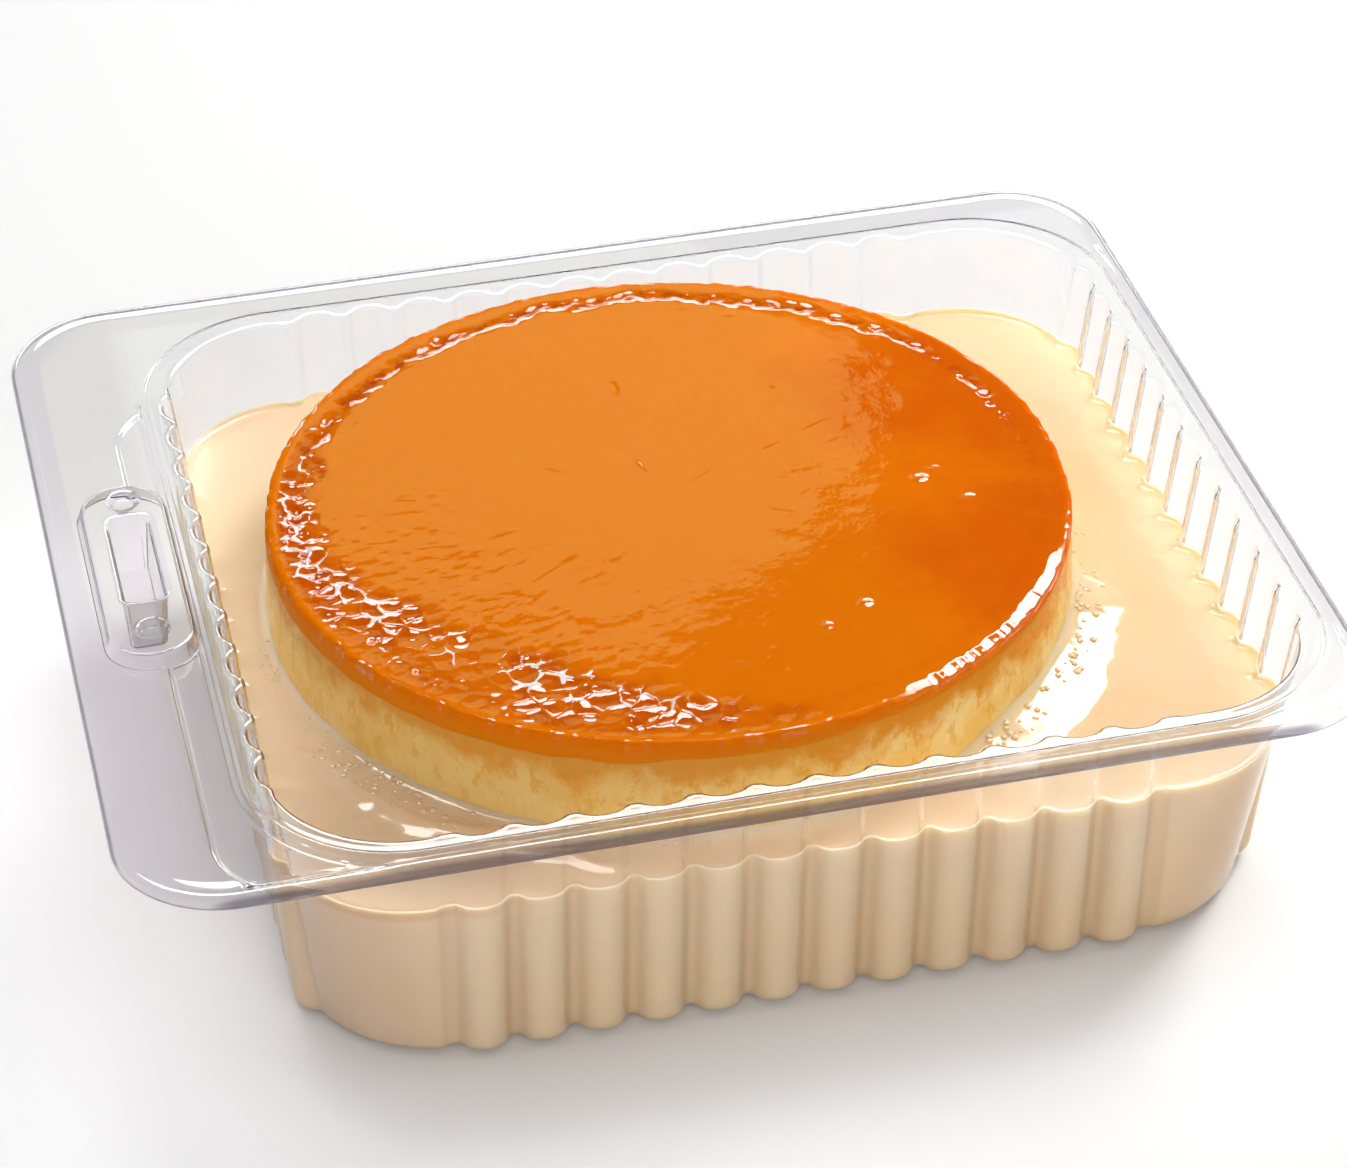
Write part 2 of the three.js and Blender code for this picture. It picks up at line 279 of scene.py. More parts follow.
POCKET_IN = (0, 0.342, 0.643, 0.866, 0.993, 1.607, 1.734, 1.957, 2.258, 2.6)
POCKET_DROP = (0, 0.06, 0.234, 0.5, 0.878, 10.622, 11.0, 11.266, 11.44, POCKET_DEPTH)
LEDGE_SLOPE = 1.3
DIMPLE_SLOPE = 1.1
DIMPLE_RINGS = (3.5, 3.3, 3.1, 2.85, 2.6, 2.35, 2.2, 1.9)


def flange_height(x, y):
    """Underside of the flange: flat, a little lower towards its lip, one step lower inside the
    ledge, raised by smooth slopes to the lock's platform, and sunk again in two round dimples and
    in the tab pocket, whose walls start and end in round arcs. Beside the collar and the lip it
    comes back to one even height."""
    from_lip = -box_distance(x, y, FLANGE_BOX, FLANGE_CORNER) - LIP_START
    from_collar = box_distance(x, y, COLLAR_BOX, COLLAR_CORNER)
    ledge = 1 - smooth(-LEDGE_SLOPE, 0, box_distance(x, y, LEDGE_BOX, LEDGE_CORNER))
    base = FLANGE_UNDER - LEDGE_DEPTH * ledge * smooth(0, 1.5, from_lip)
    base -= LIP_FALL * (1 - smooth(0.4, 3.2, from_lip)) * smooth(0, 3, from_collar)
    platform = 1 - smooth(-LOCK_SLOPE, 0, box_distance(x, y, LOCK_BOX, LOCK_CORNER))
    height = base + (FLANGE_UNDER + LOCK_HEIGHT - base) * platform
    pocket = box_distance(x, y, POCKET_BOX, POCKET_CORNER)
    height -= np.interp(-pocket, POCKET_IN, POCKET_DROP)
    for dimple_y in DIMPLE_YS:
        from_middle = np.hypot(x - DIMPLE_X, y - dimple_y)
        height -= DIMPLE_DEPTH * (1 - smooth(DIMPLE_RADIUS - DIMPLE_SLOPE, DIMPLE_RADIUS, from_middle))
    return FLANGE_UNDER + (height - FLANGE_UNDER) * smooth(0.02, 0.9, from_collar)


def inside(points, loop):
    """Which points lie inside a closed loop: those with an odd number of its edges to their right."""
    x, y = points[:, :1], points[:, 1:]
    x0, y0 = loop.T
    x1, y1 = np.roll(loop, -1, axis=0).T
    rises = (y0 > y) != (y1 > y)
    span = np.where(y1 == y0, 1, y1 - y0)
    crossing = x0 + (y - y0) / span * (x1 - x0)
    return (rises & (crossing > x)).sum(1) % 2 == 1


def fill_flat(outer, holes=(), lines=(), free=None):
    """Triangles inside the outer loop and outside the holes. Every loop's edges are kept, and of
    the lines those edges whose two ends are free. Returns the points and the triangles, facing
    down."""
    points, edges = [], []
    for number, loop in enumerate([outer, *holes, *lines]):
        index = np.arange(len(loop)) + len(points)
        pairs = np.column_stack([index, np.roll(index, -1)])
        if number > len(holes):
            usable = free(loop[:, 0], loop[:, 1])
            pairs = pairs[usable & np.roll(usable, -1)]
            stray = ~usable
            loop = loop.copy()
            loop[stray] = loop[usable][0]
        edges += pairs.tolist()
        points += loop.tolist()
    made = delaunay_2d_cdt([Vector(p) for p in points], edges, [], 0, 1e-5)
    flat = np.array([p[:] for p in made[0]], float)
    triangles = np.array(made[2], int)
    one, two = flat[triangles[:, 1]] - flat[triangles[:, 0]], flat[triangles[:, 2]] - flat[triangles[:, 0]]
    upward = one[:, 0] * two[:, 1] - one[:, 1] * two[:, 0] > 0
    triangles[upward] = triangles[upward][:, ::-1]
    middle = flat[triangles].mean(1)
    kept = inside(middle, outer)
    for hole in holes:
        kept &= ~inside(middle, hole)
    return flat, triangles[kept]


def make_tray_sheet():
    """The outer and under face of the formed sheet. The basin and collar are the ribbed outline
    carried up a profile whose last wall rows let each valley run out on a slope, the lip is the
    flange's outline carried round another, and the flange between them is a flat net of triangles
    lifted by flange_height. Solidify gives the wall."""
    rows = [wall_ring(0, -FOOT_RADIUS - 0.6), wall_ring(0, -FOOT_RADIUS)]
    for turn in QUARTER_TURN[1:]:
        rows.append(wall_ring(FOOT_RADIUS * (1 - math.cos(turn)), -FOOT_RADIUS * (1 - math.sin(turn))))
    rows += [wall_ring(height, 0) for height in WALL_HEIGHTS]
    crest = RIM_HEIGHT - WALL
    rows += [closing_ring(crest - fall, shift, fall) for shift, fall in CLOSING_ROWS]
    for shift, fall in [*COLLAR_ROWS, (FLANGE_START, crest - FLANGE_UNDER)]:
        rows.append(collar_ring(shift, crest - fall))
    basin = np.concatenate(rows)
    basin_faces = grid_quads(len(rows), STATIONS)

    def lip_ring(inset, height):
        flat = rounded_box(FLANGE_BOX, FLANGE_CORNER, inset, 3.0, 22)
        return np.column_stack([flat, np.full(len(flat), height)])

    start = lip_ring(LIP_START, 0)
    start[:, 2] = flange_height(start[:, 0], start[:, 1])
    lip = [start]
    turn_radius = LIP_START - WALL - 0.2
    for turn in QUARTER_TURN:
        ring = lip_ring(WALL + turn_radius * (1 - math.sin(turn)), 0)
        ring[:, 2] = start[:, 2] - turn_radius * (1 - math.cos(turn))
        lip.append(ring)
    lip.append(lip_ring(WALL, FLANGE_UNDER - 2.1))
    lip_count = len(lip[0])
    lip_points = np.concatenate(lip)
    lip_faces = grid_quads(len(lip), lip_count)

    lines = [rounded_box(COLLAR_BOX, COLLAR_CORNER, -out, 2.0, 24) for out in (0.3, 0.6, 0.95, 1.8, 3.0)]
    lines += [lip_ring(LIP_START + inset, 0)[:, :2] for inset in (0.35, 1.0, 1.7, 2.4, 3.2, 3.7)]
    for offset in (-0.4, 0, 0.2, 0.4, 0.65, 0.9, 1.1, LEDGE_SLOPE, LEDGE_SLOPE + 0.3):
        lines.append(rounded_box(LEDGE_BOX, LEDGE_CORNER, offset, 1.2, 16))
    for offset in (-0.3, 0, 0.2, 0.4, 0.65, 0.9, 1.1, LOCK_SLOPE, LOCK_SLOPE + 0.25):
        lines.append(rounded_box(LOCK_BOX, LOCK_CORNER, offset, 0.8, 18))
    for offset in (-0.3, *POCKET_IN, 2.9):
        lines.append(rounded_box(POCKET_BOX, POCKET_CORNER, offset, 0.8, 10))
    around = np.linspace(0, 2 * math.pi, 44, endpoint=False)
    circle = np.column_stack([np.cos(around), np.sin(around)])
    for dimple_y in DIMPLE_YS:
        lines += [radius * circle + (DIMPLE_X, dimple_y) for radius in DIMPLE_RINGS]

    def free(x, y):
        return (box_distance(x, y, COLLAR_BOX, COLLAR_CORNER) > 0.25) & (
            box_distance(x, y, FLANGE_BOX, FLANGE_CORNER) < -LIP_START - 0.3)

    flat, flat_faces = fill_flat(start[:, :2], [collar_ring(FLANGE_START, 0)[:, :2]], lines, free)
    flange = np.column_stack([flat, flange_height(flat[:, 0], flat[:, 1])])
    floor_loop = rows[0][:, :2]
    floor_flat, floor_faces = fill_flat(floor_loop)
    floor = np.column_stack([floor_flat, np.zeros(len(floor_flat))])

    parts = [(basin, basin_faces), (lip_points, lip_faces), (flange, flat_faces), (floor, floor_faces)]
    first, points, faces = 0, [], []
    for part_points, part_faces in parts:
        points.append(part_points)
        faces.append(part_faces + first)
        first += len(part_points)
    tray = new_piece("clear_tray", np.concatenate(points), faces)
    weld = bmesh.new()
    weld.from_mesh(tray.data)
    bmesh.ops.remove_doubles(weld, verts=weld.verts, dist=2e-6)
    loose = [v for v in weld.verts if not v.link_faces]
    bmesh.ops.delete(weld, geom=loose, context="VERTS")
    weld.to_mesh(tray.data)
    weld.free()
    wall = tray.modifiers.new("wall", "SOLIDIFY")
    wall.thickness = WALL * MM
    wall.offset = -1
    wall.use_even_offset = True
    return tray


# ---------------------------------------------------------------- milk sauce

SAUCE_SHIFT = -0.35
SAUCE_BOTTOM = 0.35
MENISCUS_WALL, MENISCUS_FLAN = 1.3, 1.6


def custard_radius(height):
    """Radius of the custard's side at a height, by straight pieces between its profile points."""
    radii, heights = zip(*CUSTARD_SIDE)
    return np.interp(height, heights, radii)


def sauce_waves(x, y, from_flan, turned):
    """Soft waves over the sauce, a bank against the flan at the right, a crest along its front
    left and fine wrinkles in the corner beside it."""
    waves = 0.10 * rough_noise(x / 9, y / 9, 3) + 0.02 * rough_noise(x / 2.2, y / 2.2, 5)
    bank = smooth(292, 312, turned) * (1 - smooth(336, 350, turned))
    waves += 2.9 * bank * (1 - smooth(-1, 12.5 + 1.2 * rough_noise(x / 6, y / 6, 6), from_flan))
    crest = smooth(200, 212, turned) * (1 - smooth(243, 256, turned))
    crest_line = 7.5 + 1.9 * rough_noise(turned / 9, turned * 0, 7)
    waves += 0.85 * crest * np.exp(-((from_flan - crest_line) / 1.5) ** 2)
    corner = np.exp(-(((x + 76) / 13) ** 2 + ((y + 58) / 14) ** 2))
    waves += 0.24 * corner * rough_noise(x / 2.6, y / 1.5, 8, 2)
    return waves


# First and last direction in degrees, nearest and farthest from the flan, how many, and their size
BUBBLE_CLUSTERS = [(205, 232, 1.0, 7.5, 90, 0.55), (180, 205, 0.8, 4.0, 30, 0.45),
                   (303, 340, 0.8, 5.5, 60, 0.6), (340, 358, 1.0, 6.0, 22, 0.5),
                   (232, 262, 0.6, 2.2, 26, 0.4)]


def make_bubbles():
    """Small low domes on the sauce beside the flan: one cap, a fan of rings, copied to every
    place at its own size by whole arrays."""
    rng = np.random.default_rng(17)
    rings, turns = 4, 10
    tilt = np.linspace(0, math.pi / 2, rings + 1)[1:, None]
    around = np.linspace(0, 2 * math.pi, turns, endpoint=False)[None, :]
    shape = np.stack([np.sin(tilt) * np.cos(around), np.sin(tilt) * np.sin(around),
                      np.cos(tilt) + 0 * around], -1)
    shape = np.vstack([shape.reshape(-1, 3), [0, 0, 1], [0, 0, -0.35]])
    ring = np.arange(turns)
    after = (ring + 1) % turns
    tip, base = rings * turns, rings * turns + 1
    last = (rings - 1) * turns
    fans = np.concatenate([np.column_stack([np.full(turns, tip), ring, after]),
                           np.column_stack([np.full(turns, base), last + after, last + ring])])
    quads = grid_quads(rings, turns)[:, ::-1]
    places = []
    for first, end, near, far, count, size in BUBBLE_CLUSTERS:
        turned = np.radians(rng.uniform(first, end, count))
        away = rng.uniform(near, far, count)
        radius = custard_radius(SAUCE_LEVEL) + away
        x, y = FLAN_X + radius * np.cos(turned), FLAN_Y + radius * np.sin(turned)
        waves = sauce_waves(x, y, away, np.degrees(turned) % 360)
        height = SAUCE_LEVEL + MENISCUS_FLAN * np.exp(-away / 1.1) + waves
        places.append(np.column_stack([x, y, height - 0.05, size * rng.uniform(0.4, 1.3, count)]))
    places = np.concatenate(places)
    points = places[:, None, :3] + shape[None] * places[:, None, 3:] * (1, 1, 0.5)
    first = np.arange(len(places))[:, None, None] * len(shape)
    return new_piece("milk_bubbles", points.reshape(-1, 3),
                     [(quads[None] + first).reshape(-1, 4), (fans[None] + first).reshape(-1, 3)])


def make_sauce():
    """A closed ring round the flan: up inside the wall, over the surface with a meniscus at both
    edges, down inside the custard and back along the floor. The surface is a blend between the
    ribbed outline and the circle of the flan, on lines through the flan's middle."""
    level, lift = SAUCE_LEVEL, SAUCE_BOTTOM
    foot = FOOT_RADIUS + SAUCE_SHIFT
    rows = []
    for turn in QUARTER_TURN:
        rise, inward = foot * (1 - math.cos(turn)), foot * (1 - math.sin(turn))
        rows.append(wall_ring(lift + rise, SAUCE_SHIFT - inward))
    top = level + MENISCUS_WALL
    rows += [wall_ring(height, SAUCE_SHIFT) for height in (9, 16, 24, 31, level - 0.4, level + 0.6, top)]
    edge = wall_ring(top, SAUCE_SHIFT)[:, :2]
    from_flan = edge - (FLAN_X, FLAN_Y)
    angle = np.arctan2(from_flan[:, 1], from_flan[:, 0])
    reach = np.hypot(*from_flan.T)
    around = np.column_stack([np.cos(angle), np.sin(angle)])
    flan_radius = custard_radius(level) - 0.3
    span = reach - flan_radius
    near_wall = np.array([0.12, 0.3, 0.55, 0.9, 1.4, 2.1, 3.2, 4.6])
    near_flan = np.array([5.0, 3.4, 2.3, 1.6, 1.1, 0.7, 0.4, 0.2, 0.0])
    middle = np.linspace(0, 1, 14)[1:-1]
    from_wall = [np.minimum(d, span * 0.4 * d / near_wall[-1]) for d in near_wall]
    to_flan = [np.minimum(d, span * 0.4 * d / near_flan[0]) for d in near_flan]
    between = [from_wall[-1] * (1 - t) + (span - to_flan[0]) * t for t in middle]
    for distance in from_wall + between + [span - d for d in to_flan]:
        left = span - distance
        radius = flan_radius + left
        flat = around * radius[:, None] + (FLAN_X, FLAN_Y)
        x, y = flat.T
        height = level + MENISCUS_WALL * np.exp(-distance / 0.9) + MENISCUS_FLAN * np.exp(-left / 1.1)
        height = height + smooth(0, 2.5, distance) * sauce_waves(x, y, left, np.degrees(angle) % 360)
        rows.append(np.column_stack([flat, height]))
    for height in (level - 3, 20.0, lift):
        flat = around * (custard_radius(height) - 0.8) + (FLAN_X, FLAN_Y)
        rows.append(np.column_stack([flat, np.full(STATIONS, height)]))
    points = np.concatenate(rows)
    quads = grid_quads(len(rows) + 1, STATIONS) % len(points)
    return new_piece("milk_pool", points, [quads])


# ---------------------------------------------------------------- flan

def make_custard():
    """A body of revolution: the profile radius at each height, pushed in and out by soft noise
    round the side, with small pores, closed by a middle point above and below."""
    turns, steps = 520, 84
    angle = np.linspace(0, 2 * math.pi, turns, endpoint=False)[None, :]
    height = np.linspace(CUSTARD_SIDE[0][1], CUSTARD_TOP, steps)[:, None]
    radius = custard_radius(height) - 1.6 * smooth(52.6, CUSTARD_TOP, height) + 0 * angle
    around = angle * SIDE_RADIUS
    radius = radius + 0.14 * rough_noise(around / 9 + 3, height / 9, 11)
    radius = radius + 0.05 * rough_noise(around / 1.7, height / 2.5, 12)
    x = FLAN_X + radius * np.cos(angle)
    y = FLAN_Y + radius * np.sin(angle)
    points = np.column_stack([x.ravel(), y.ravel(), (height + 0 * angle).ravel()])
    low, high = len(points), len(points) + 1
    points = np.vstack([points, [FLAN_X, FLAN_Y, CUSTARD_SIDE[0][1]], [FLAN_X, FLAN_Y, CUSTARD_TOP]])
    ring = np.arange(turns)
    after = (ring + 1) % turns
    start = (steps - 1) * turns
    caps = np.concatenate([np.column_stack([np.full(turns, low), after, ring]),
                           np.column_stack([np.full(turns, high), start + ring, start + after])])
    return new_piece("custard_body", points, [grid_quads(steps, turns), caps])


FOAM_ANGLES = np.radians([-188.0, -98.0])
CARAMEL_TURNS = 880
GLINT_ANGLES = np.radians([-78.0, -20.0])


def caramel_angles():
    """Directions round the caramel, closer together where its surface is full of small cells."""
    fine = np.linspace(0, 2 * math.pi, 4001)
    density = np.ones(len(fine))
    for (low, high), extra in ((FOAM_ANGLES, 1.6), (GLINT_ANGLES, 1.2)):
        away = np.abs((fine - (low + high) / 2 + math.pi) % (2 * math.pi) - math.pi)
        density += extra * (1 - smooth((high - low) / 2, (high - low) / 2 + 0.25, away))
    total = np.concatenate([[0], np.cumsum((density[1:] + density[:-1]) / 2)])
    return np.interp(np.linspace(0, total[-1], CARAMEL_TURNS, endpoint=False), total, fine)


def cell_field(x, y, centres, sizes):
    """Distance to the nearest cell centre, each divided by the cell's size, and how much further
    the second nearest is."""
    first, second = np.full(x.shape, 9.0), np.full(x.shape, 9.0)
    for start in range(0, len(x), 4000):
        part = slice(start, start + 4000)
        away = np.hypot(x[part, None] - centres[:, 0], y[part, None] - centres[:, 1]) / sizes
        nearest = np.partition(away, 1, axis=1)
        first[part], second[part] = nearest[:, 0], nearest[:, 1]
    return first, second - first


def polar(x, y):
    """Distance from the flan's middle and direction in degrees from 0 to 360."""
    dx, dy = x - FLAN_X, y - FLAN_Y
    return np.hypot(dx, dy), np.degrees(np.arctan2(dy, dx)) % 360


def foam_share(x, y):
    """How full of cells the caramel's surface is: 1 in a band along the front left of the rim."""
    radius, turned = polar(x, y)
    inner = np.interp(turned, [135, 160, 175, 190, 205, 228, 245, 262, 280],
                      [68, 66, 64, 58, 53, 52, 54, 60, 68])
    band = smooth(0, 5, radius - inner + 3 * rough_noise(x / 7, y / 7, 21))
    band = band * (1 - smooth(72.8, 74.3, radius))
    patchy = 0.35 + 0.65 * smooth(-0.4, 0.2, rough_noise(x / 9, y / 9, 22))
    return band * patchy * smooth(135, 160, turned) * (1 - smooth(262, 288, turned))


def painted_glint_share(x, y):
    """Where the walls between cells get a painted white highlight: patches of the cell band, most at its
    middle.
    """
    radius, turned = polar(x, y)
    middle = np.interp(turned, [135, 190, 205, 228, 245, 262, 288], [71, 70, 63, 61, 62, 66, 70])
    near = np.exp(-((radius - middle) / 5.5) ** 4)
    patchy = smooth(-0.35, -0.05, rough_noise(x / 6.5, y / 6.5, 24))
    return near * patchy * np.interp(turned, [135, 150, 192, 205, 240, 252, 285],
                                     [0, 0.85, 0.85, 1, 1, 0.6, 0])


def groove_share(x, y):
    """How deep the crumpled ring inside the rim is: 1 along the back, fading out at the right."""
    radius, turned = polar(x, y)
    ring = np.exp(-((radius - 70.0 - 0.9 * rough_noise(x / 8, y / 8, 34)) / 1.5) ** 2)
    around = np.interp(turned, [0, 30, 50, 130, 170, 200, 250, 300, 330, 360],
                       [0.25, 0.5, 1.0, 1.0, 0.8, 0.35, 0.12, 0.1, 0.1, 0.25])
    return ring * around


# Single bubbles on the caramel: middle x and y, radius and height
DOMES = [(-14.6, 41.5, 1.0, 0.35), (-9.0, 41.2, 1.3, 0.4), (40.6, -4.1, 1.9, 0.45), (47.6, -12.4, 1.7, 0.3),
         (19.9, -39.8, 1.6, 0.4), (11.3, -44.8, 1.5, 0.3), (-23.5, 14.6, 0.6, 0.25), (-10.1, 13.5, 0.5, 0.2),
         (44.0, -1.5, 1.3, 0.25), (-28.7, -65.3, 0.8, 0.3)]


def spot_heights(x, y, spots):
    """Sum of round spots given as middle x, middle y, radius and height, each a smooth cap."""
    spots = np.asarray(spots, float)
    total = np.zeros(x.shape)
    for start in range(0, len(x), 4000):
        part = slice(start, start + 4000)
        away = np.hypot(x[part, None] - spots[:, 0], y[part, None] - spots[:, 1]) / spots[:, 2]
        total[part] = ((1 - smooth(0, 1, away)) * spots[:, 3]).sum(1)
    return total


def random_spots(rng, count, share, least, radii, heights):
    """Spots at random where share(x, y) is above least, with random radii and heights."""
    middles = rng.uniform(-84, 84, (20000, 2))
    middles = middles[share(middles[:, 0], middles[:, 1]) > least][:count]
    count = len(middles)
    return np.column_stack([middles, rng.uniform(*radii, count), rng.uniform(*heights, count)])


EDGE_RADIUS, HANG_RADIUS = 75.9, 76.15
CELL_SPACING, CELL_JITTER, LEAST_FOAM = 4.4, 1.6, 0.02
# How far back from the edge a rim row lies, and its fall where the rim is round and where bevelled
RIM_ROWS = ((0.75, 0.06, 0.11), (0.42, 0.17, 0.23), (0.18, 0.34, 0.38), (0.04, 0.62, 0.62), (0, 1, 1))
# Share of the way down the side, and how far that row is drawn in
SIDE_ROWS = ((0.3, 0), (0.6, 0), (0.85, 0), (0.95, 0.12), (1, 0.6))


def burst_cells(x, y, foam, rng):
    """Walls between burst cells, 1 where the two nearest cell middles are equally far, and how far
    the surface rises at the walls and sinks inside the cells. The middles stand on a jittered
    hexagonal net, and noise bends the coordinates."""
    across, along = np.meshgrid(np.arange(-84, 84, CELL_SPACING), np.arange(-84, 84, CELL_SPACING * 0.87))
    across = across + (np.arange(len(across)) % 2)[:, None] * CELL_SPACING / 2
    cells = np.column_stack([across.ravel(), along.ravel()])
    cells = cells + rng.uniform(-CELL_JITTER, CELL_JITTER, (across.size, 2))
    cells = cells[foam_share(cells[:, 0], cells[:, 1]) > LEAST_FOAM]
    active = foam > LEAST_FOAM
    x, y = x[active], y[active]
    bent_x = x + 0.4 * rough_noise(x / 2.4, y / 2.4, 42, 2)
    bent_y = y + 0.4 * rough_noise(x / 2.4, y / 2.4, 43, 2)
    near, gap = cell_field(bent_x, bent_y, cells, rng.uniform(0.7, 1.4, len(cells)))
    ridge, lift = np.zeros(foam.size), np.zeros(foam.size)
    ridge[active] = np.exp(-(gap / 0.46) ** 2)
    lift[active] = 0.16 * ridge[active] - 0.24 * (1 - smooth(0.2, 2.6, near))
    return ridge, lift


def make_caramel():
    """A disc on a polar grid: nearly flat out to a tight ragged edge, with a crumpled groove
    inside it, and burst cells, domes and fine waves on top. The rim is round, and bevelled where
    it glints; below it a side hangs down unevenly. Stored values say where the cell walls get a
    painted white highlight and where the shine lies."""
    angle = caramel_angles()[None, :]
    reach = np.concatenate([np.linspace(0.6, 40, 20), np.linspace(40, 62, 36)[1:],
                            np.linspace(62, 74.8, 42)[1:]])[:, None]
    around = angle * SIDE_RADIUS
    ragged = 0.16 * rough_noise(np.cos(angle) * 4 + 9, np.sin(angle) * 4, 31)
    ragged = ragged + 0.22 * rough_noise(around / 1.7, angle * 0, 36, 2)
    edge = EDGE_RADIUS + ragged
    radius = reach * (1 + ragged / EDGE_RADIUS * (reach / 75) ** 8)
    x = FLAN_X + radius * np.cos(angle)
    y = FLAN_Y + radius * np.sin(angle)
    flat_x, flat_y = x.ravel(), y.ravel()
    height = FLAN_TOP - 0.5 + 0.09 * rough_noise(x / 24, y / 24, 32) + 0.012 * rough_noise(x / 4, y / 4, 33)
    left_side = smooth(-10, 45, FLAN_X - x)
    height += 0.035 * left_side * rough_noise(x / 2.4, y / 1.4, 37, 2)
    groove, foam = groove_share(x, y), foam_share(x, y)
    height -= 0.26 * groove
    off_glint = np.abs((angle - GLINT_ANGLES.mean() + math.pi) % (2 * math.pi) - math.pi)
    glint = 1 - smooth(0.27, 0.42, off_glint)
    bevel = np.maximum(reach - 73.55 + 0.3 * rough_noise(around / 1.8, angle * 0 + 8, 44, 2), 0)
    height -= 0.36 * glint * bevel
    rng = np.random.default_rng(41)
    spots = np.vstack([DOMES, random_spots(rng, 330, groove_share, 0.25, (0.7, 1.7), (-0.42, 0.28)),
                       random_spots(rng, 90, lambda px, py: polar(px, py)[0] < 66, 0.5,
                                    (0.25, 0.6), (0.05, 0.16)),
                       random_spots(rng, 26, foam_share, 0.2, (1.2, 2.6), (-0.25, 0.25))])
    height += spot_heights(flat_x, flat_y, spots).reshape(x.shape)
    ridge, lift = burst_cells(flat_x, flat_y, foam.ravel(), rng)
    height += (lift * foam.ravel()).reshape(x.shape)
    painted_lace_glint = ridge * painted_glint_share(flat_x, flat_y)
    thick = np.interp((np.degrees(angle) + 360) % 360, [0, 60, 130, 200, 240, 265, 290, 330, 360],
                      [2.0, 2.2, 3.6, 4.6, 4.6, 3.6, 2.4, 1.7, 2.0])
    thick = thick + 0.5 * rough_noise(around / 9, angle * 0 + 2, 35, 2)
    rim_rows = []
    dashes = smooth(0.4, 0.62, rough_noise(around / 1.3, angle * 0 + 3, 45, 2)) * 0.8
    rim_shine = np.maximum(glint, dashes + 0.04)
    shine = [np.ones((len(reach) - 2, CARAMEL_TURNS))] + [rim_shine] * 7 + [0 * angle + 0.12] * 6
    rim_top = height[-1:] + 0.12 * (1 - 0.85 * glint) * rough_noise(around / 1.5, angle * 0 + 5, 38, 2)
    for back, fall, slanted in RIM_ROWS:
        rim_rows.append((edge - back, rim_top - fall * (1 - glint) - slanted * glint))
    low = FLAN_TOP - thick - 0.9
    for share, under in SIDE_ROWS:
        out = edge * (1 - share) + HANG_RADIUS * share - under
        rim_rows.append((out, (FLAN_TOP - 1.5) * (1 - share) + low * share))
    rim_rows.append((edge - 3.0, low + 0.3))
    xs = [x] + [FLAN_X + out * np.cos(angle) for out, _ in rim_rows]
    ys = [y] + [FLAN_Y + out * np.sin(angle) for out, _ in rim_rows]
    zs = [height] + [z for _, z in rim_rows]
    x, y, z = np.vstack(xs), np.vstack(ys), np.vstack(zs)
    rows, turns_count = x.shape
    points = np.column_stack([x.ravel(), y.ravel(), z.ravel()])
    top, bottom = len(points), len(points) + 1
    points = np.vstack([points, [FLAN_X, FLAN_Y, height[0].mean()], [FLAN_X, FLAN_Y, low.mean()]])
    ring = np.arange(turns_count)
    after = (ring + 1) % turns_count
    start = (rows - 1) * turns_count
    caps = np.concatenate([np.column_stack([np.full(turns_count, top), ring, after]),
                           np.column_stack([np.full(turns_count, bottom), start + after, start + ring])])
    piece = new_piece("caramel_top", points, [grid_quads(rows, turns_count)[:, ::-1], caps])
    for name, values in [("foam", foam.ravel()), ("groove", groove.ravel()),
                         ("ridge", ridge * foam.ravel()),
                         ("painted_lace_glint", painted_lace_glint * np.minimum(foam.ravel() * 2, 1)),
                         ("shine", np.vstack(shine).ravel())]:
        stored = np.zeros(len(points))
        stored[:len(values)] = values
        add_values(piece, name, stored)
    return piece


# ---------------------------------------------------------------- materials

class Socket:
    """An output in a material's node tree. Arithmetic on it adds Math nodes."""

    def __init__(self, paint, output):
        self.paint, self.output = paint, output

    def math(self, operation, first, second):
        node = self.paint.node("Math", {"operation": operation}, {0: first, 1: second})
        return Socket(self.paint, node.outputs[0])

    def __add__(self, other):
        return self.math("ADD", self, other)

    __radd__ = __add__

    def __sub__(self, other):
        return self.math("SUBTRACT", self, other)

    def __rsub__(self, other):
        return self.math("SUBTRACT", other, self)

    def __mul__(self, other):
        return self.math("MULTIPLY", self, other)

    __rmul__ = __mul__

    def between(self, low, high):
        """0 at low and 1 at high, with a soft start and end."""
        node = self.paint.node("MapRange", {"interpolation_type": "SMOOTHSTEP"},
                               {"Value": self, "From Min": low, "From Max": high})
        return Socket(self.paint, node.outputs["Result"])


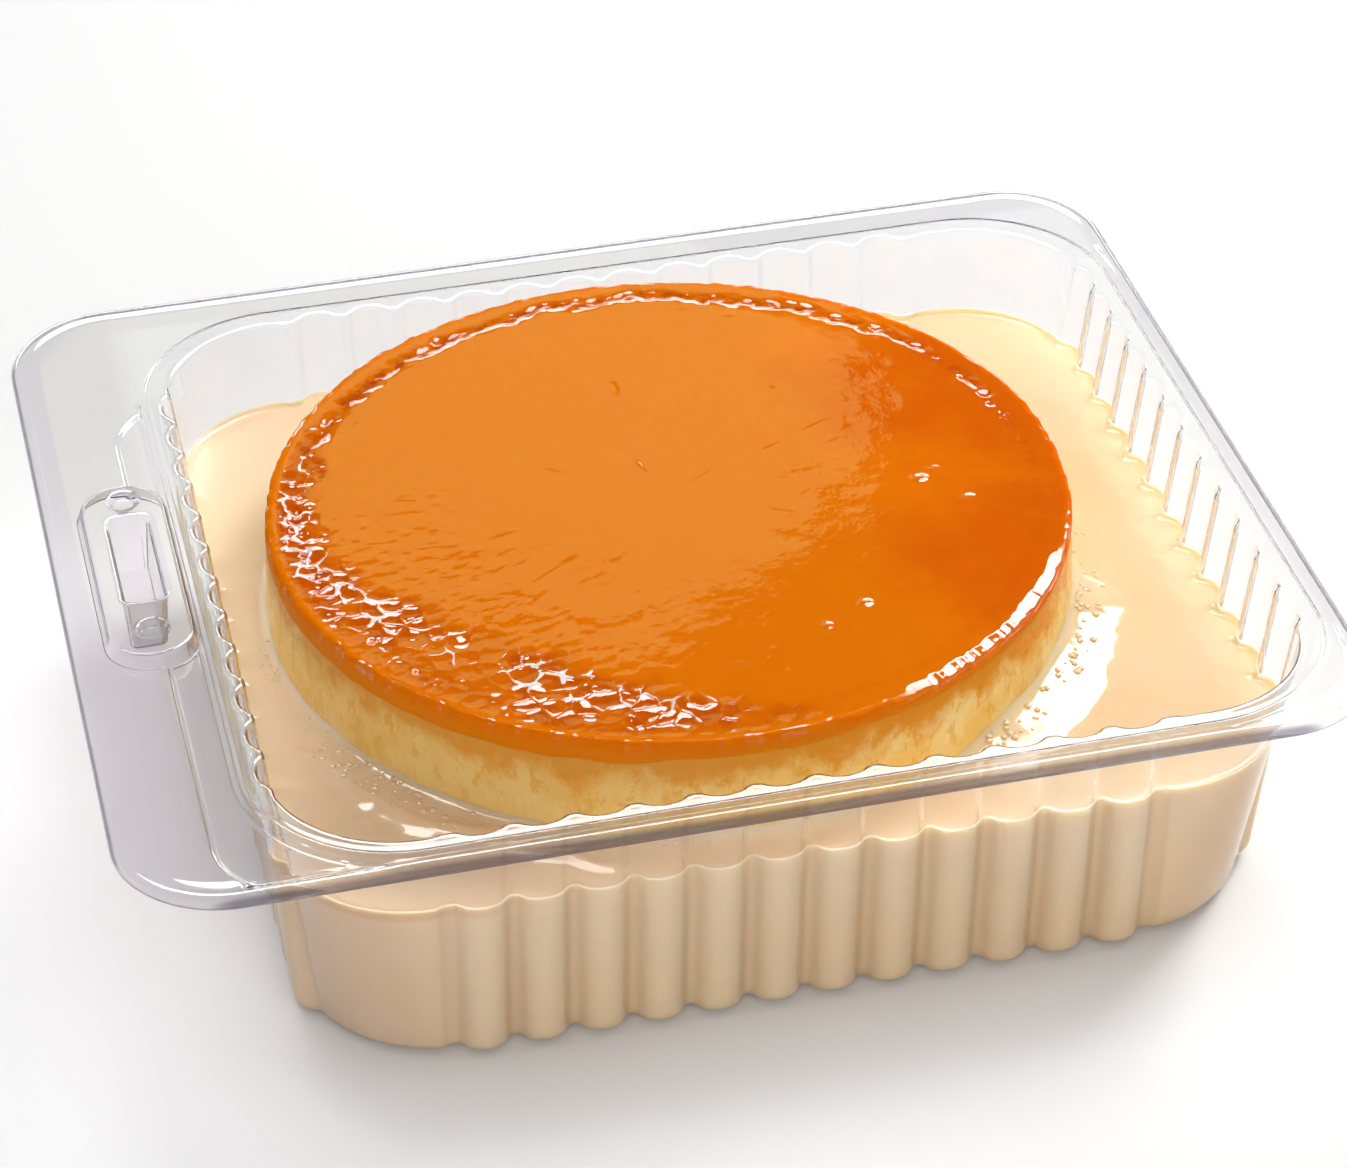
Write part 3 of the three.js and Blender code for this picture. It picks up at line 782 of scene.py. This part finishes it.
class Paint:
    """A material made of nodes; node() adds one from its type, its settings and its sockets."""

    def __init__(self, name):
        self.material = bpy.data.materials.new(name)
        self.material.use_nodes = True
        self.tree = self.material.node_tree
        self.tree.nodes.clear()

    def node(self, kind, settings=None, sockets=None):
        made = self.tree.nodes.new("ShaderNode" + kind)
        for key, value in (settings or {}).items():
            setattr(made, key, value)
        for key, value in (sockets or {}).items():
            if isinstance(value, Socket):
                self.tree.links.new(value.output, made.inputs[key])
            else:
                made.inputs[key].default_value = value
        return made

    def place(self):
        return Socket(self, self.node("TexCoord").outputs["Object"])

    def axis(self, name):
        node = self.node("SeparateXYZ", sockets={"Vector": self.place()})
        return Socket(self, node.outputs[name])

    def stored(self, name):
        node = self.node("Attribute", {"attribute_name": name})
        return Socket(self, node.outputs["Fac"])

    def stretched(self, scale):
        node = self.node("Mapping", sockets={"Vector": self.place(), "Scale": scale})
        return Socket(self, node.outputs["Vector"])

    def noise(self, scale, detail=3.0, roughness=0.5, vector=None, distortion=0.0):
        node = self.node("TexNoise", sockets={
            "Vector": vector or self.place(), "Scale": scale, "Detail": detail,
            "Roughness": roughness, "Distortion": distortion})
        return Socket(self, node.outputs["Fac"])

    def mix(self, factor, first, second):
        node = self.node("Mix", {"data_type": "RGBA"}, {"Factor": factor, 6: first, 7: second})
        return Socket(self, node.outputs[2])

    def bump(self, height, distance, strength=1.0):
        node = self.node("Bump", sockets={"Height": height, "Distance": distance, "Strength": strength})
        return Socket(self, node.outputs["Normal"])

    def surface(self, sockets):
        node = self.node("BsdfPrincipled", sockets=sockets)
        return Socket(self, node.outputs["BSDF"])

    def finish(self, shader):
        self.node("OutputMaterial", sockets={"Surface": shader})
        return self.material


def clear_plastic():
    paint = Paint("clear_formed_plastic")
    x, y = paint.axis("X"), paint.axis("Y")
    # Painted shade: the flange is tinted darker than the walls, on the back and right rims and most of all
    # on the wide left flange, for the shaded floor seen through it.
    wide_flange_shade = 1 - x.between(-0.106, -0.096)
    rim_flange_shade = y.between(0.087, 0.090) + x.between(0.098, 0.101)
    tint = paint.mix(rim_flange_shade.math("MINIMUM", rim_flange_shade, 1.0), (0.86, 0.86, 0.87, 1), (0.80, 0.785, 0.815, 1))
    tint = paint.mix(wide_flange_shade, tint, (0.77, 0.745, 0.775, 1))
    # Painted shade: a dark line along the outer edge of the lip all round, where the bent sheet looks dark.
    lip = 2 - x.between(-0.1227, -0.1219) - y.between(-0.0908, -0.0900)
    lip = lip + x.between(0.1026, 0.1034) + y.between(0.0978, 0.0986)
    tint = paint.mix(lip.math("MINIMUM", lip, 1.0) * 0.9, tint, (0.2, 0.18, 0.25, 1))
    glass = paint.surface({"Base Color": tint, "Roughness": 0.03, "IOR": 1.50,
                           "Transmission Weight": 1.0})
    passing = paint.node("BsdfTransparent", sockets={"Color": (0.92, 0.92, 0.93, 1)})
    shadow = paint.node("LightPath").outputs["Is Shadow Ray"]
    mixed = paint.node("MixShader", sockets={
        0: Socket(paint, shadow), 1: glass, 2: Socket(paint, passing.outputs["BSDF"])})
    return paint.finish(Socket(paint, mixed.outputs[0]))


def milk(name="milk_sauce_cream", deeper=0.0, soft=0.5):
    paint = Paint(name)
    tone = paint.mix(paint.noise(28, 3).between(0.35, 0.7), (0.87, 0.66, 0.40, 1), (0.86, 0.62, 0.35, 1))
    # Painted sheen: paler, greyer cream towards the left.
    left = 1 - paint.axis("X").between(-0.085, -0.03)
    tone = paint.mix(left * 0.7, tone, (0.82, 0.63, 0.44, 1))
    # Painted light: the sauce's front face, seen through the front wall, is lighter.
    tone = paint.mix((1 - paint.axis("Y").between(-0.084, -0.078)) * 0.75, tone, (0.93, 0.77, 0.55, 1))
    # Painted shade: darker tan on the sauce's surface at the front left, by the flan's foot.
    front_left_shade = (1 - paint.axis("X").between(-0.085, -0.030)) * (1 - paint.axis("Y").between(-0.07, -0.02))
    tone = paint.mix(front_left_shade * paint.axis("Z").between(0.0335, 0.0355) * 0.7, tone, (0.66, 0.44, 0.25, 1))
    tone = paint.mix(deeper, tone, (0.72, 0.46, 0.20, 1))
    return paint.finish(paint.surface({
        "Base Color": tone, "Roughness": 0.10, "IOR": 1.42, "Subsurface Weight": soft,
        "Subsurface Radius": (1.0, 0.7, 0.4), "Subsurface Scale": 0.004}))


def custard():
    paint = Paint("baked_custard")
    height = paint.axis("Z")
    patches = paint.noise(90, 4, 0.6)
    tone = paint.mix(patches.between(0.35, 0.65), (0.93, 0.68, 0.27, 1), (0.90, 0.56, 0.14, 1))
    stains = paint.noise(1, 5, 0.65, paint.stretched((95, 95, 40)))
    tone = paint.mix(stains.between(0.52, 0.70) * 0.6, tone, (0.78, 0.36, 0.045, 1))
    flecks = paint.noise(1, 4, 0.7, paint.stretched((300, 300, 190)))
    upper = height.between(0.036, 0.050)
    amber = flecks.between(0.53, 0.60) * (upper * 0.5 + 0.3)
    tone = paint.mix(amber, tone, (0.78, 0.36, 0.02, 1))
    soaked = (height + (paint.noise(130, 4, 0.6) - 0.5) * 0.016).between(0.0450, 0.0510)
    tone = paint.mix(soaked * 0.95, tone, (0.78, 0.27, 0.003, 1))
    # Painted shade: the custard is darker and browner towards the left.
    left = 1 - (paint.axis("X") + paint.axis("Y") * 0.4).between(-0.075, 0.0)
    tone = paint.mix(left * 0.35, tone, (0.70, 0.42, 0.12, 1))
    return paint.finish(paint.surface({
        "Base Color": tone, "Roughness": 0.25, "IOR": 1.42, "Specular IOR Level": 0.15,
        "Subsurface Weight": 0.35, "Subsurface Radius": (1.0, 0.55, 0.2), "Subsurface Scale": 0.003,
        "Normal": paint.bump(paint.noise(500, 4), 0.0003)}))


def caramel():
    paint = Paint("wet_caramel")
    foam, groove, ridge = paint.stored("foam"), paint.stored("groove"), paint.stored("ridge")
    painted_lace_glint, shine = paint.stored("painted_lace_glint"), paint.stored("shine")
    broad = paint.noise(22, 4, 0.55).between(0.36, 0.66)
    # Painted reflection: left of a wavy line the caramel is a lighter orange, adding to the mirrored pale
    # card; to the right it is a deeper, patchy orange.
    right = (paint.axis("X") + (paint.noise(60, 3) - 0.5) * 0.03).between(0.015, 0.04)
    deeper = paint.mix(broad, (0.76, 0.125, 0.001, 1), (0.90, 0.20, 0.001, 1))
    tone = paint.mix(right, (0.82, 0.185, 0.001, 1), deeper)
    fine = paint.noise(260, 3, 0.6).between(0.5, 0.8)
    tone = paint.mix(fine * 0.25, tone, (0.84, 0.22, 0.003, 1))
    specks = paint.noise(420, 3, 0.6).between(0.42, 0.62)
    # Painted shade: darker tone and darker specks in the dents of the crumpled groove.
    tone = paint.mix(groove * 0.3 + groove * specks * 0.6, tone, (0.42, 0.04, 0.001, 1))
    # Painted shade: the cell band is darker red-brown inside the cells, and the cell walls are painted back
    # to orange.
    tone = paint.mix(foam * 0.7, tone, (0.54, 0.06, 0.001, 1))
    tone = paint.mix(ridge * 0.55, tone, (0.82, 0.19, 0.002, 1))
    low = 1 - paint.axis("Z").between(0.0530, 0.0552)
    tone = paint.mix(low * 0.8, tone, (0.80, 0.22, 0.004, 1))
    # Painted highlight: the cell walls are painted near white where the glints lie.
    tone = paint.mix(painted_lace_glint.between(0.38, 0.55), tone, (0.98, 0.90, 0.84, 1))
    waves = paint.noise(240, 3) * 0.5
    return paint.finish(paint.surface({
        "Base Color": tone, "Roughness": 0.3, "Specular IOR Level": 0.0, "Subsurface Weight": 0.3,
        "Coat Weight": shine * (1 - groove * 0.6), "Coat Roughness": 0.03, "Coat IOR": 1.6,
        "Subsurface Radius": (1.0, 0.4, 0.05), "Subsurface Scale": 0.003,
        "Coat Normal": paint.bump(waves, 0.00010), "Normal": paint.bump(waves, 0.00012)}))


# ---------------------------------------------------------------- pieces

tray = make_tray_sheet()
sauce = make_sauce()
body = make_custard()
top = make_caramel()
bubbles = make_bubbles()
for piece, node, slot, material in [
    (tray, "tray", "clear_plastic", clear_plastic()),
    (sauce, "milk_sauce", "milk", milk()),
    (body, "custard", "custard", custard()),
    (top, "caramel_layer", "caramel", caramel()),
    (bubbles, "milk_sauce", "milk", milk("milk_bubble_film", 0.12, 0.0)),
]:
    piece.data.materials.append(material)
    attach(piece, "root")
    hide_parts(node)


# ---------------------------------------------------------------- stage, light and camera

def make_floor():
    """A wide flat square just under the tray."""
    half = 6000
    points = np.array([[-half, -half, -0.2], [half, -half, -0.2], [half, half, -0.2], [-half, half, -0.2]])
    floor = new_piece("studio_floor", points, [np.array([[0, 1, 2, 3]])])
    paint = Paint("pale_paper")
    paper = paint.surface({"Base Color": (0.93, 0.93, 0.93, 1), "Roughness": 0.9})
    floor.data.materials.append(paint.finish(paper))


def make_world():
    """A pale band round the horizon under a dark sky, and pale all over where it is seen directly
    or through the clear sheet."""
    world = bpy.data.worlds.new("studio")
    world.use_nodes = True
    sky = Paint.__new__(Paint)
    sky.tree = world.node_tree
    sky.tree.nodes.clear()
    path = sky.node("LightPath")
    direct = Socket(sky, path.outputs["Is Camera Ray"])
    through = direct.math("MINIMUM", Socket(sky, path.outputs["Transmission Depth"]), 1.0)
    scattered = direct.math("MINIMUM", Socket(sky, path.outputs["Diffuse Depth"]), 1.0)
    seen = direct.math("MAXIMUM", direct, through * (1 - scattered))
    upward = Socket(sky, sky.node("SeparateXYZ", sockets={"Vector": sky.place()}).outputs["Z"])
    band = 0.7 * (1 - upward.between(0.22, 0.46)) + 0.02
    strength = band.math("MAXIMUM", band, seen * 0.95)
    lit = sky.node("Background", sockets={"Strength": strength})
    sky.node("OutputWorld", sockets={"Surface": Socket(sky, lit.outputs[0])})
    bpy.context.scene.world = world


def soft_light(name, place, aim, width, height, power, colour=(1, 1, 1), shape="RECTANGLE",
               lights=True, mirrored=True):
    """A flat lamp at place that faces aim, all in millimetres. It lights the pieces, is mirrored
    in their shine, or both."""
    lamp = bpy.data.lights.new(name, "AREA")
    lamp.shape = shape
    lamp.size, lamp.size_y = width * MM, height * MM
    lamp.energy = power
    lamp.color = colour
    holder = bpy.data.objects.new(name, lamp)
    holder.visible_glossy = mirrored
    holder.visible_diffuse = holder.visible_transmission = lights
    holder.location = Vector(place) * MM
    holder.rotation_euler = (Vector(aim) - Vector(place)).to_track_quat("-Z", "Y").to_euler()
    bpy.context.scene.collection.objects.link(holder)


def make_camera():
    """A long lens, turned, tipped and rolled by three angles round a point behind the flan."""
    yaw, pitch, roll = -0.23022, 0.62933, -0.01353
    focal_pixels, sensor = 4139.09, 36.0
    target, distance = Vector((4.603, 49.708, 0)), 853.02
    back = Vector((math.sin(yaw) * math.cos(pitch), -math.cos(yaw) * math.cos(pitch), math.sin(pitch)))
    level = Vector((math.cos(yaw), math.sin(yaw), 0))
    upright = back.cross(level)
    right = level * math.cos(roll) + upright * math.sin(roll)
    up = upright * math.cos(roll) - level * math.sin(roll)
    lens = bpy.data.cameras.new("camera")
    lens.sensor_fit = "HORIZONTAL"
    lens.sensor_width = sensor
    lens.lens = focal_pixels * sensor / IMAGE_WIDTH
    lens.clip_end = 50
    camera = bpy.data.objects.new("camera", lens)
    turned = Matrix((right, up, back)).transposed().to_4x4()
    turned.translation = (target + back * distance) * MM
    camera.matrix_world = turned
    bpy.context.scene.collection.objects.link(camera)
    bpy.context.scene.camera = camera


make_floor()
make_world()
soft_light("overhead", (100, 100, 1300), (0, 0, 0), 1500, 1500, 5.0, mirrored=False)
soft_light("right_key", (775, 525, 825), (0, 0, 50), 400, 400, 10.0, mirrored=False)
soft_light("left_key", (-138, 512, 1132), (0, 0, 50), 280, 280, 2.0, mirrored=False)
soft_light("front_fill", (-300, -2000, 1300), (0, 0, 40), 2800, 1500, 22, mirrored=False)
soft_light("back_card", (95, 900, 650), (0, 0, 57), 391, 215, 0.19, (0.85, 1.0, 0.35), "ELLIPSE",
           lights=False)
soft_light("right_panel", (698, 473, 743), (0, 0, 50), 468, 432, 11, lights=False)
soft_light("top_panel", (36, 387, 1062), (0, 0, 50), 1170, 387, 21, lights=False)
soft_light("back_strip", (250, 2400, 760), (0, 0, 57), 2600, 560, 30, lights=False)
make_camera()
bpy.context.scene.view_settings.view_transform = "Standard"
